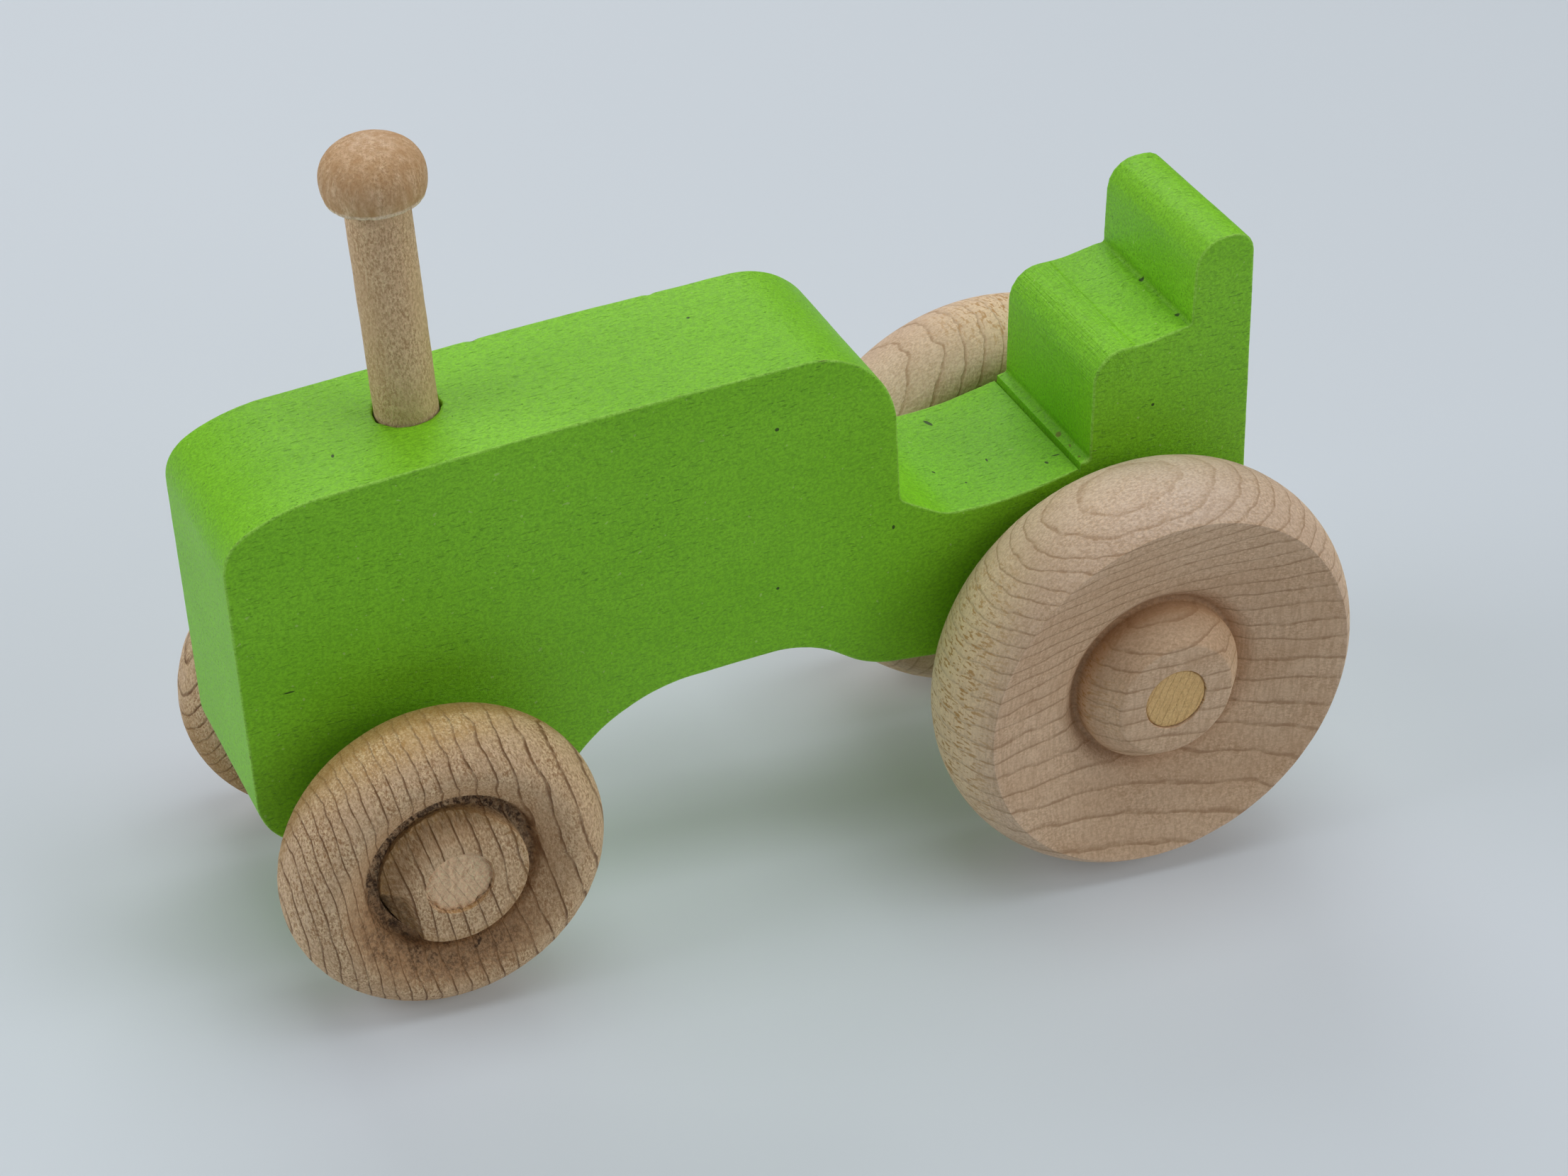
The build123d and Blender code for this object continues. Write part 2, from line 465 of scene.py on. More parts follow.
PAINT = (0.262, 0.685, 0.018)
PAINT_LIGHT = (0.290, 0.73, 0.026)
PAINT_TOOTH = (0.10, 0.32, 0.006)
PAINT_PORE = (0.06, 0.21, 0.004)
PAINT_PIT = (0.035, 0.11, 0.004)
PAINT_GLINT = (0.50, 0.74, 0.20)
PAINT_CREASE_SHADE = (0.06, 0.20, 0.004)
PAINT_RUBBED_HIGHLIGHT = (0.46, 0.82, 0.16)
PAINT_MARK = (0.02, 0.05, 0.005)
CHIP_BROWN = (0.20, 0.12, 0.03)
BARE_EDGE = (0.12, 0.10, 0.03)


def green_paint():
    """Satin paint over sanded wood: fine tooth, short pores, specks, painted glints, painted shade
    in creases, and edges rubbed thin and lightened as a painted highlight.
    """
    s = Shader("satin_green_paint")
    place = s.attribute("timber", "Vector")
    edge = s.attribute("edge")

    cloud = s.noise(place, (0.04, 0.08, 0.08), detail=4.0)
    tooth = s.noise(place, (1.9, 2.4, 2.4), detail=3.0, roughness=0.8)
    patch = s.ease(s.noise(place, (0.05, 0.11, 0.11), detail=2.0), 0.35, 0.62, 0.25, 1.0)
    dash = s.ease(s.noise(place, (0.75, 3.6, 3.6), detail=2.0), 0.60, 0.72)
    pit = s.ease(s.noise(place, (1.6, 2.0, 2.0), detail=1.0), 0.765, 0.81)
    glint = s.ease(s.noise(place, (1.5, 1.5, 1.5), detail=0.0), 0.845, 0.87)

    colour = s.mix(s.ease(cloud, 0.3, 0.7), PAINT, PAINT_LIGHT)
    colour = s.mix(s.ease(tooth, 0.36, 0.64, 0.46, 0.0), colour, PAINT_TOOTH)
    colour = s.mix(s.times(s.times(dash, patch), 0.5), colour, PAINT_PORE)
    colour = s.mix(s.times(pit, 0.6), colour, PAINT_PIT)
    # painted glints: tiny light specks in the colour
    colour = s.mix(s.times(glint, 0.5), colour, PAINT_GLINT)
    # painted shade: concave corners and the peg's hole darker
    colour = s.mix(s.times(s.attribute("crease_shade"), 0.22), colour, PAINT_CREASE_SHADE)
    # edges lighter: paint rubbed thin, and a painted highlight along them
    rubbed_and_highlit = s.times(s.ease(edge, 0.3, 0.9), s.ease(tooth, 0.42, 0.62, 0.35, 0.9))
    colour = s.mix(s.times(rubbed_and_highlit, 0.6), colour, PAINT_RUBBED_HIGHLIGHT)
    worn = s.noise(place, (0.35, 0.9, 0.9), detail=4.0, roughness=0.7)
    bare = s.times(s.ease(edge, 0.75, 1.0), s.ease(worn, 0.60, 0.70))
    colour = s.mix(s.times(bare, 0.75), colour, BARE_EDGE)
    for centre, size, lean in DARK_MARKS:
        mark = spot(s, place, centre, size, lean)
        colour = s.mix(s.times(mark, 0.9), colour, PAINT_MARK)
    for centre, size, lean in CHIPS:
        chip = spot(s, place, centre, size, lean)
        colour = s.mix(s.times(chip, 0.7), colour, CHIP_BROWN)

    scratch = s.noise(place, (4.0, 0.2, 4.0), detail=2.0)
    height = s.plus(tooth, s.times(s.times(scratch, s.attribute("sanded")), 1.5))
    height = s.math("SUBTRACT", height, s.times(s.plus(dash, pit), 0.5))
    roughness = s.ease(tooth, 0.3, 0.7, 0.40, 0.52)
    return s.finish(colour, roughness, height, relief=0.12, specular=0.28)


def floor_paper():
    """Pale translucent sheet, lit a little from below."""
    s = Shader("pale_floor")
    place = s.add("ShaderNodeTexCoord", {}, "Object")
    tone = s.noise(place, (9.0, 9.0, 9.0), detail=2.0)
    colour = s.mix(tone, (0.575, 0.635, 0.700), (0.590, 0.650, 0.712))
    s.surface.inputs["Emission Color"].default_value = (0.98, 1.0, 1.0, 1)
    s.surface.inputs["Emission Strength"].default_value = 0.094
    return s.finish(colour, 0.6, tone, relief=0.0, specular=0.25)


# ---------------- turned pieces


def revolve(profile, origin, axis, start, count, closed):
    """Turns a profile of (along the axis, radius) about an axis. Returns the points, the faces,
    the normals and each point's place: along the axis, radius, and degrees from the start."""
    axis, start = unit(axis), unit(start)
    quarter = unit(np.cross(axis, start))
    angles = np.arange(count) * 2 * math.pi / count
    points, places, rows = [], [], []
    for along, radius in profile:
        first = len(points)
        ring = angles if radius > 1e-6 else angles[:1]
        rows.append([first + k % len(ring) for k in range(count)])
        for angle in ring:
            outward = start * math.cos(angle) + quarter * math.sin(angle)
            points.append(origin + axis * along + outward * radius)
            places.append((along, radius, math.degrees(angle)))
    pairs = list(zip(rows, rows[1:] + rows[:1] if closed else rows[1:]))
    faces = []
    for lower, upper in pairs:
        for k in range(count):
            n = (k + 1) % count
            corners = (lower[k], lower[n], upper[n], upper[k])
            faces.append(tuple(dict.fromkeys(corners)))
    points = np.array(points)
    faces = facing_out(points, faces)
    return points, faces, normals_of(points, faces), np.array(places).T


def tread_arc(radius, kind):
    """Points over the tread, from the flat inner face to the crisp ring on the outer side."""
    crest, tread, rim = kind["crest"], kind["tread"], kind["rim"]
    core = radius - tread
    rim_centre = (rim, core + math.sqrt((tread - rim) ** 2 - (crest - rim) ** 2))
    meeting = math.atan2(rim_centre[1] - core, rim - crest)
    ring = math.asin((kind["ring"] - core) / tread)
    rounded = [
        (rim + rim * math.cos(a), rim_centre[1] + rim * math.sin(a))
        for a in np.linspace(math.pi, meeting, 16)
    ]
    over = [
        (crest + tread * math.cos(a), core + tread * math.sin(a))
        for a in np.linspace(meeting, ring, 70)
    ]
    return rounded + over[1:]


def wheel_profile(node, kind, side):
    """A wheel's section as a closed loop of (distance along +Y from the axle's middle, radius)."""
    radius, width = reach(node)[2], reach(node)[1] * 2
    inner = abs(middle(node)[1]) - reach(node)[1]
    corners = [(point, 0, None) for point in tread_arc(radius, kind)]
    corners += [(corner, size, None) for corner, size in kind["face"]]
    corners += [((width, DOWEL_RADIUS), 0.12, None), ((0, DOWEL_RADIUS), 0.3, None)]

    def step(point):
        hidden = point[0] < 0.4 or point[1] < DOWEL_RADIUS + 0.2
        return 2.0 if hidden else kind["step"]

    section = rounded_outline(corners, step)
    section[:, 0] = side * (section[:, 0] + inner)
    return section


def timber_of(points, origin, fibre, growth):
    """Coordinates in the timber: along the fibres, across the rings, along the rings."""
    flat = unit(np.cross(fibre, growth))
    across = np.cross(flat, fibre)
    return (points - origin) @ np.stack([unit(fibre), across, flat]).T


def grow_rings(distance, spacing, widening):
    """Rings counted along a distance, where their spacing widens e times over `widening`."""
    return -widening / spacing * np.exp(-distance / widening)


def around(angle, centre, low, high):
    """0 to 1 as a point's angle, in degrees, nears a direction round the wheel."""
    return ease(low, high, np.cos(np.radians(angle - centre)))


def rear_wear_and_shade(width, radius, angle, timber, end):
    """Wear and painted shade of a rear wheel: clean, with its groove and hub wall darker and warmer
    as painted shade in the recess round the hub, and a paler tread that is partly a painted sheen.
    Widths, radii and angles are those of wheel sections; lift is in millimetres and the rest are
    paint attributes."""
    inner_part = (width > 9) & (radius < 14.5)
    groove = ease(1.0, 0.1, np.abs(radius - 12.5)) * ease(14.0, 12.6, width) * inner_part
    wall = ease(14.2, 12.6, radius) * ease(18.0, 14.5, width) * inner_part
    return {
        "lift": 0.02 * rough(timber, 2.5) * ease(0.7, 1.0, end),
        # painted shade: the groove and the hub wall darker and warmer
        "dirt_and_shade": 0.3 * groove,
        "warm_and_shade": np.clip(0.75 * wall + 0.3 * groove, 0, 1),
        # a paler, bluer tread: partly bleached side grain, partly a painted sheen
        "bleach_and_highlight": 0.85 * ease(27.2, 28.6, radius),
    }


def front_wear_and_shade(width, radius, angle, timber, end):
    """Wear and painted shade of a front wheel: torn grain, a fuzzy groove, a sliver split off the
    hub, and darkening in the groove and low on the dish that is partly dirt and partly painted
    shade.
    """
    fuzz = rough(timber, 1.7)
    coarse = rough(timber, 0.7, 6.0)
    outer_side = width > 6
    on_hub = (radius < 10.6) & (width > 9.5)

    # Where each kind of wear and painted shade is, from 0 to 1.
    torn = around(angle, 30, 0.0, 0.8) * ease(11.5, 13.5, radius) * ease(5.0, 7.5, width)
    split = ease(-6.9, -7.2, timber[:, 1]) * ease(1.0, -0.5, timber[:, 0])
    worn = ease(6.0, 10.0, radius) * around(angle, 60, -0.2, 0.7)
    smudge = 12.3 + 1.1 * around(angle, 150, -0.2, 0.8) + 0.6 * coarse
    groove = outer_side * ease(smudge + 0.9, smudge - 1.2, radius) * ease(12.4, 9.2, width)
    groove = groove * ease(9.0, 9.8, radius)
    # low: darker towards the bottom of the dish, painted shade
    low = around(angle, 165, 0.1, 0.9) * ease(18.0, 13.5, radius) * (radius > 10.3)
    dish = 0.45 * ease(17.5, 13.0, radius) * (radius > 10.4)
    hub_side = (radius > 9.0) * (radius < 10.4) * ease(9.5, 11.5, width)
    hub_shoulder = ease(8.2, 10.2, radius) * on_hub * around(angle, 60, 0.0, 0.8)

    lift = 0.10 * torn * rough(timber * (0.6, 1.6, 1.6), 1.0) - on_hub * split * 1.5
    lift = lift - on_hub * worn * np.maximum(width - 9.4, 0) * (0.8 + 0.12 * fuzz)
    # darker in the groove, the split, the hub's shoulder and low down, partly dirt and partly
    # painted shade
    dirt_and_shade = groove * (0.82 + 0.2 * np.cos(np.radians(angle - 20)) + 0.3 * coarse)
    dirt_and_shade = dirt_and_shade + 0.45 * on_hub * split + hub_shoulder * (0.22 + 0.4 * coarse)
    dirt_and_shade = np.maximum(dirt_and_shade, 0.8 * low * (0.8 + 0.7 * coarse) * outer_side)
    gold = ease(7.6 + coarse, 5.2 + coarse, width) * ease(0.2, 0.6, end) * (radius > 17)
    gold = gold + 0.55 * on_hub * np.maximum(split, worn) + 0.35 * hub_side
    return {
        "lift": lift + groove * 0.12 * fuzz,
        "dirt_and_shade": np.clip(dirt_and_shade, 0, 1),
        "gold": np.clip(gold, 0, 1),
        # warmer and darker low on the dish and by the hub as painted shade, with patches of the
        # wood's own tone
        "warm_and_shade": np.clip(0.8 * low + dish + 0.3 * coarse, 0, 1) * outer_side,
        "bleach_and_highlight": np.clip(0.1 + 0.4 * torn + 0.35 * coarse, 0, 1),
    }


# Wheel sections, in millimetres: widths from the inner face, and radii from the axle. The crest is
# the width where the round tread is highest, tread and rim are its radii of rounding, and ring is
# where it ends. The face's corners, with their roundings, go on from there to the hub. step is the
# distance between the mesh's points. The growth rings' spacing widens e times over `widening`, they
# fan out by `fanning` for each millimetre along the fibres, and each leaves a ridge.
REAR_WHEEL = {
    "axle": REAR_AXLE,
    "body": "rear_wheels",
    "slot": "rear_wheel_wood",
    "crest": 9.5,
    "tread": 12.8,
    "rim": 5.0,
    "ring": 28.0,
    "face": (
        ((14.45, 14.9), 3.5),
        ((12.3, 12.7), 0.5),
        ((12.9, 12.2), 0.3),
        ((15.3, 12.2), 2.2),
        ((19.5, 8.8), 0.5),
    ),
    "step": 0.45,
    "widening": 55.0,
    "fanning": 0.007,
    "ridge": 0.03,
    # finish gives the wheel's wear and its painted shade
    "finish": rear_wear_and_shade,
}
FRONT_WHEEL = {
    "axle": FRONT_AXLE,
    "body": "front_wheels",
    "slot": "front_wheel_wood",
    "crest": 6.5,
    "tread": 7.5,
    "rim": 2.5,
    "ring": 18.4,
    "face": (
        ((13.9, 16.9), 2.5),
        ((11.0, 12.2), 1.6),
        ((9.2, 11.7), 0.8),
        ((9.2, 10.1), 0.5),
        ((12.9, 9.9), 0.4),
    ),
    "step": 0.38,
    "widening": 42.0,
    "fanning": 0.003,
    "ridge": 0.07,
    # finish gives the wheel's wear and its painted shade
    "finish": front_wear_and_shade,
}


def wheel(name, kind, material, side, fibre, growth, spacing, seed):
    """A turned wheel. fibre is the grain's direction, and growth is the direction across the
    growth rings, which are spacing apart in the middle."""
    profile = wheel_profile(name, kind, side)
    count = round(2 * math.pi * profile[:, 1].max() / (kind["step"] * 1.25))
    axle, body, slot = kind["axle"], kind["body"], kind["slot"]
    points, faces, normals, places = revolve(profile, axle, (0, 1, 0), (0, 0, 1), count, True)
    timber = timber_of(points, axle, fibre, growth)
    wavy = timber + 0.35 * rough(timber * (0.4, 1, 1), 0.3, seed)[:, None]
    fanned = wavy[:, 1] * (1 + kind["fanning"] * wavy[:, 0])
    ring = grow_rings(fanned, spacing, kind["widening"])
    end = np.abs(normals @ fibre)
    raised = kind["ridge"] * (ring % 1 - 0.5) * (1 - end)
    uneven = 0.03 * rough(points, 0.22, seed) + 0.012 * rough(points, 1.4, seed)
    width = side * places[0] - (abs(middle(name)[1]) - reach(name)[1])
    # the wheel's wear, with painted shade and painted highlights
    wear_and_shading = kind["finish"](width, places[1], places[2], timber, end)
    shown = ease(0.3, 1.2, width) * ease(DOWEL_RADIUS + 0.1, DOWEL_RADIUS + 0.6, places[1])
    points = points + normals * ((raised + uneven) * shown)[:, None]
    points = points + (wear_and_shading["lift"] * shown)[:, None] * np.array((0, side, 0))
    points[:, 2] = np.maximum(points[:, 2], 0.01)
    # the tread's side grain paler: partly bleached wood, partly a painted sheen
    facing = ease(0.45, 0.95, np.abs(normals @ growth)) * (1 - end) ** 2
    bleach_and_highlight = wear_and_shading["bleach_and_highlight"] * (0.35 + 0.65 * facing) * ease(15.0, 19.0, places[1])
    attributes = {"timber": timber + seed, "ring": ring, "end": end}
    attributes.update({key: values for key, values in wear_and_shading.items() if key != "lift"})
    attributes["bleach_and_highlight"] = bleach_and_highlight
    return make_piece("turned_" + name, points, faces, body, name, material, attributes)


# ---------------- dowels and the peg


def dowel_profile(half, step):
    """Section of a dowel from its right end to its left, with the ends' rims a little worn."""
    rim = 0.3
    left = [
        (half - rim, DOWEL_RADIUS),
        (half - 0.3 * rim, DOWEL_RADIUS - 0.3 * rim),
        (half, DOWEL_RADIUS - rim),
        (half, 0),
    ]
    corners = [(-along, radius) for along, radius in left[::-1]] + left
    return resample(corners, lambda point: step if abs(point[0]) > half - 1 else 2.0, False)


def dowel(name, body, material, axle, growth, seed, tear, flare):
    """A dowel axle. tear is the depth of the torn end grain and flare how far the ends spread."""
    half = reach(name)[1]
    profile = dowel_profile(half, 0.22)
    points, faces, normals, places = revolve(profile, axle, (0, 1, 0), (0, 0, 1), 150, False)
    timber = timber_of(points, axle, np.array((0, 1, 0)), growth)
    cut = np.abs(normals[:, 1]) > 0.5
    ragged = rough(points, 0.9, seed + 9)
    pits = rough(points * (1, 1, 0.5), 1.6, seed) + 0.7 * rough(points, 3.1, seed) - 1
    rim = ease(3.9, 4.6, places[1]) * cut * tear * 2.0 * np.minimum(ragged, 0)
    points = points + normals * (tear * pits * cut + rim)[:, None]
    spread = flare * ease(0.9, 0.1, half - np.abs(places[0])) * places[1] / DOWEL_RADIUS
    spread = spread * (1 + 0.8 * ragged + 0.5 * rough(points, 2.2, seed))
    outward = (points - axle) * (1, 0, 1)
    outward = outward / np.maximum(np.linalg.norm(outward, axis=1), 0.01)[:, None]
    points = points + outward * spread[:, None]
    lower_side = ease(0.3, -0.4, normals[:, 2])
    attributes = {
        "timber": timber + seed,
        "ring": timber[:, 1] / 1.15,
        "end": np.abs(normals[:, 1]),
        # painted shade: each end's rim darker, most on its lower side
        "dirt_and_shade": ease(4.35, 4.7, places[1]) * cut * (0.2 + 0.5 * lower_side),
    }
    return make_piece("cut_" + name, points, faces, body, name, material, attributes)


# The peg: its place on the board, and its section along its own axis from the hood's surface.
PEG_ALONG = 95.7
PEG_SIDE = -1.45
PEG_FORWARD_LEAN = 1.6
PEG_SIDE_LEAN = 0.7
PEG_DEPTH = 15.0
PEG_RADIUS = 4.25
PEG_CHAMFER = 0.6
HOLE_RADIUS = 4.4
CAP_UNDERSIDE = 31.5
CAP_RIM = 6.45
CAP_RADIUS = 6.85
CAP_WIDEST = 34.2
CAP_TOP = 39.3
CAP_FULLNESS = 2 / 2.25  # a little squarer than an ellipse


def peg_profile():
    """Section of the mushroom peg from its foot in the board to the crown of its cap."""
    points = [(-PEG_DEPTH, 0), (-PEG_DEPTH, PEG_RADIUS - PEG_CHAMFER)]
    points += [(PEG_CHAMFER - PEG_DEPTH, PEG_RADIUS)]
    points += [(-1, PEG_RADIUS), (CAP_UNDERSIDE - 0.3, PEG_RADIUS)]
    points += [(CAP_UNDERSIDE - 0.08, PEG_RADIUS + 0.08), (CAP_UNDERSIDE, PEG_RADIUS + 0.3)]
    points += [(CAP_UNDERSIDE, CAP_RIM - 0.35), (CAP_UNDERSIDE + 0.08, CAP_RIM - 0.1)]
    points += [(CAP_UNDERSIDE + 0.3, CAP_RIM)]
    for share in (0.2, 0.4, 0.6, 0.8):
        height = CAP_UNDERSIDE + 0.3 + share * (CAP_WIDEST - CAP_UNDERSIDE - 0.3)
        points.append((height, CAP_RADIUS - (CAP_RADIUS - CAP_RIM) * (1 - share) ** 2))
    for angle in np.radians(np.linspace(0, 90, 40)):
        height = CAP_WIDEST + (CAP_TOP - CAP_WIDEST) * math.sin(angle) ** CAP_FULLNESS
        points.append((height, CAP_RADIUS * max(0.0, math.cos(angle)) ** CAP_FULLNESS))
    points[-1] = (CAP_TOP, 0)
    return resample(points, lambda point: 0.35 if point[0] > -1 else 2.0, False)


def peg_wear(along, radius, streaks):
    """Painted shadow under the peg's cap, golden and warm streaks on the cap, and its rim and crown
    paler as a painted highlight.
    """
    cap = ease(CAP_UNDERSIDE - 0.1, CAP_UNDERSIDE, along)
    rim = cap * ease(0.8, 0.45, along - CAP_UNDERSIDE) * (radius > 6)
    under_cap = ease(1.6, 0.2, CAP_UNDERSIDE - along) * ease(0, 0.4, along)
    haunch = ease(3.5, 6.4, radius)
    crown = cap * ease(4.5, 1.0, radius)
    return {
        # painted shadow: the shaft darker just under the cap
        "dirt_and_shade": 0.45 * (1 - cap) * under_cap,
        "gold": cap * np.clip(0.15 + 0.3 * haunch + 0.45 * streaks, 0, 1) * (1 - rim),
        "warm_and_shade": cap * np.clip(0.5 + 0.7 * streaks, 0, 1) * (1 - rim),
        # painted highlight: a light line round the cap's lower rim, and a paler crown
        "bleach_and_highlight": np.clip(rim + 0.5 * crown, 0, 1),
    }


def peg(material):
    lean = PITCH + math.radians(PEG_FORWARD_LEAN)
    axis = unit((math.sin(lean), -math.sin(math.radians(PEG_SIDE_LEAN)), math.cos(lean)))
    foot = from_board(PEG_ALONG, PEG_SIDE, hood_height(PEG_ALONG))
    points, faces, normals, places = revolve(peg_profile(), foot, axis, (0, 1, 0), 144, False)
    timber = timber_of(points, foot, axis, unit((0.35, 0.9, 0)))
    along, radius = places[:2]
    drawn = timber * (0.4, 1, 1)
    uneven = 0.05 * rough(timber * (0.5, 1, 1), 0.35, 4.0) + 0.035 * rough(drawn, 1.3, 4.0)
    shaft = ease(-1.0, 0.5, along) * ease(CAP_UNDERSIDE, CAP_UNDERSIDE - 0.5, along)
    near_rim = ease(0.9, 0.2, np.abs(along - CAP_UNDERSIDE - 0.2))
    ragged = 0.16 * np.minimum(rough(points, 0.9, 8.0), 0) * near_rim
    points = points + normals * (uneven * (0.4 + 0.6 * shaft) + ragged)[:, None]
    attributes = {
        "timber": timber + 40,
        "ring": np.full(len(points), 0.1),
        "end": 0.45 * np.abs(normals @ axis),
    }
    attributes.update(peg_wear(along, radius, rough(timber * (0.25, 1, 1), 1.3, 12.0)))
    return make_piece(
        "turned_peg", points, faces, "chassis", "smokestack_peg", material, attributes
    )


# ---------------- the board


# The sawn outline: (corner in U and V, rounding radius, facets). Rasped roundings have uneven
# facets, given as shares of the arc. A saw cut runs along the cockpit side of the ledge.
OUTLINE = (
    ((-22.2, -9.0), 3.0, None),
    ((-22.2, 58.5), 3.2, (0, 0.2, 0.4, 0.6, 0.8, 1)),
    ((-13.4, 58.5), 4.4, (0, 0.18, 0.36, 0.56, 0.78, 1)),
    ((-12.75, 45.8), 0.5, None),
    ((2.2, 44.7), 5.0, (0, 0.12, 0.3, 0.5, 0.72, 0.88, 1)),
    ((2.75, 28.35), 0.4, None),
    ((4.15, 27.95), 0, None),
    ((4.28, 27.1), 0, None),
    ((4.34, 26.85), 0, None),
    ((4.55, 27.2), 0, None),
    ((15.5, 25.3), 48.0, None),
    ((25.0, 25.9), 8.0, None),
    ((31.75, 30.2), 1.8, None),
    ((32.7, 56.0), 13.2, None),
    ((75.0, 56.2), 1100.0, None),
    ((117.3, 55.0), 25.0, None),
    ((125.9, 50.7), 6.3, None),
    ((125.9, 6.5), 9.5, None),
    ((109.4, -8.5), 8.0, None),
    ((89.5, -8.5), 4.0, None),
    ((75.5, 11.0), 24.0, None),
    ((46.3, 11.0), 17.0, None),
    ((37.0, 4.0), 15.0, None),
    ((19.5, 1.3), 5.0, None),
    ((11.5, -9.0), 5.0, None),
)
LEDGE = (4.5, 27.1)  # the saw cut's place in U and V, where the edge stays crisper
SEAT_MIDDLE = -6.0
SEAT_HOLLOW = 0.45
EDGE_SOFTENING = 0.27

# Angles of the points over a softened edge, and the edge value at each and just inside them, which
# wears the paint and lightens it as a painted highlight.
ARC_STEPS = np.radians((0, 22.5, 45, 67.5, 90))
EDGE_WEAR_AND_HIGHLIGHT = (0.55, 0.9, 1.0, 0.9, 0.55, 0.12)

# (U, Y, V, reach) of places where an edge is knocked off more than elsewhere, and by how much
NICKS = (
    (82.5, -13, 56.1, 1.1, 0.5),
    (57.0, -13, 56.1, 0.9, 0.4),
    (3.2, 13, 28.2, 0.9, 0.35),
)


def board_rows():
    """Outline points, the direction out of the wood at each, and how much the outline turns
    inwards around it, from 0 to 1."""
    rows = rounded_outline(OUTLINE, lambda point: 0.4 if point[1] > 12 or point[0] > 120 else 0.8)
    steps = np.roll(rows, -1, axis=0) - rows
    lengths = np.linalg.norm(steps, axis=1)
    rows, steps, lengths = rows[lengths > 1e-4], steps[lengths > 1e-4], lengths[lengths > 1e-4]
    ahead = steps / lengths[:, None]
    behind = np.roll(ahead, 1, axis=0)
    out_ahead = np.stack([-ahead[:, 1], ahead[:, 0]], 1)
    out_behind = np.roll(out_ahead, 1, axis=0)
    cosine = (out_ahead * out_behind).sum(1)
    outward = (out_ahead + out_behind) / (1 + cosine)[:, None]
    turning = np.arctan2(behind[:, 0] * ahead[:, 1] - behind[:, 1] * ahead[:, 0], cosine)
    travel = np.concatenate([[0], np.cumsum(lengths)[:-1]])
    apart = np.abs(travel[:, None] - travel[None, :])
    apart = np.minimum(apart, lengths.sum() - apart)
    inner = (ease(1.1, 0.1, apart) * np.maximum(turning, 0)[None, :]).sum(1)
    return rows, outward, np.clip(inner / 0.9, 0, 1)


def softening(rows, side):
    """Radius of the sanded edge at each outline point, on the left or the right of the board."""
    places = np.stack([rows[:, 0], rows[:, 1], np.full(len(rows), 7.0 * side)], 1)
    size = EDGE_SOFTENING * (1 + 0.35 * rough(places, 0.21, 5.0) + 0.2 * rough(places, 1.1, 5.0))
    size *= 1 - 0.55 * ease(2.0, 0.7, np.hypot(*(rows - LEDGE).T))
    for u, y, v, width, extra in NICKS:
        if y * side > 0:
            size += extra * ease(width, 0, np.hypot(*(rows - (u, v)).T))
    return size


def hood_height(u):
    """Height of the hood's top above the rear axle, in board coordinates."""
    rows = board_rows()[0]
    hood = rows[(rows[:, 0] > 45) & (rows[:, 1] > 50)]
    return np.interp(u, hood[:, 0], hood[:, 1])


def inside(polygon, points):
    """Which of the points lie inside a closed polygon."""
    x, y = points[:, :1], points[:, 1:]
    ax, ay = polygon[:, 0], polygon[:, 1]
    bx, by = np.roll(ax, -1), np.roll(ay, -1)
    spans = (ay > y) != (by > y)
    with np.errstate(divide="ignore", invalid="ignore"):
        crossing = ax + (y - ay) * (bx - ax) / (by - ay)
    return (spans & (x < crossing)).sum(1) % 2 == 1


class Board:
    """Collects the board's points, faces and paint attributes, in board coordinates."""

    def __init__(self):
        self.points, self.faces, self.edge, self.crease_shade = [], [], [], []

    def add(self, points, edge, crease_shade):
        first = len(self.points)
        self.points += [tuple(p) for p in points]
        self.edge += list(np.broadcast_to(edge, len(points)))
        self.crease_shade += list(np.broadcast_to(crease_shade, len(points)))
        return list(range(first, len(self.points)))

    def band(self, lower, upper):
        """Quads between two rings of points."""
        for k in range(len(lower)):
            n = (k + 1) % len(lower)
            self.faces.append((lower[k], lower[n], upper[n], upper[k]))


def board_columns(rows, outward):
    """Points of each column of the strip from the right face to the left, and its edge value, for
    wear and a painted highlight.
    """
    columns = []
    for side in (RIGHT, LEFT):
        size = softening(rows, side)
        edge = []
        for angle, wear_and_shading in zip(ARC_STEPS, EDGE_WEAR_AND_HIGHLIGHT):
            width = side * (BOARD_HALF - size * (1 - math.cos(angle)))
            flat = rows - outward * (size * (1 - math.sin(angle)))[:, None]
            edge.append((np.column_stack([flat[:, 0], width, flat[:, 1]]), wear_and_shading))
        width = side * (BOARD_HALF - size - 0.3)
        edge.append((np.column_stack([rows[:, 0], width, rows[:, 1]]), EDGE_WEAR_AND_HIGHLIGHT[-1]))
        if side == RIGHT:
            columns += edge
            for y in range(1 - round(BOARD_HALF), round(BOARD_HALF)):
                flat = np.column_stack([rows[:, 0], np.full(len(rows), y), rows[:, 1]])
                columns.append((flat, 0.0))
        else:
            columns += edge[::-1]
    return columns


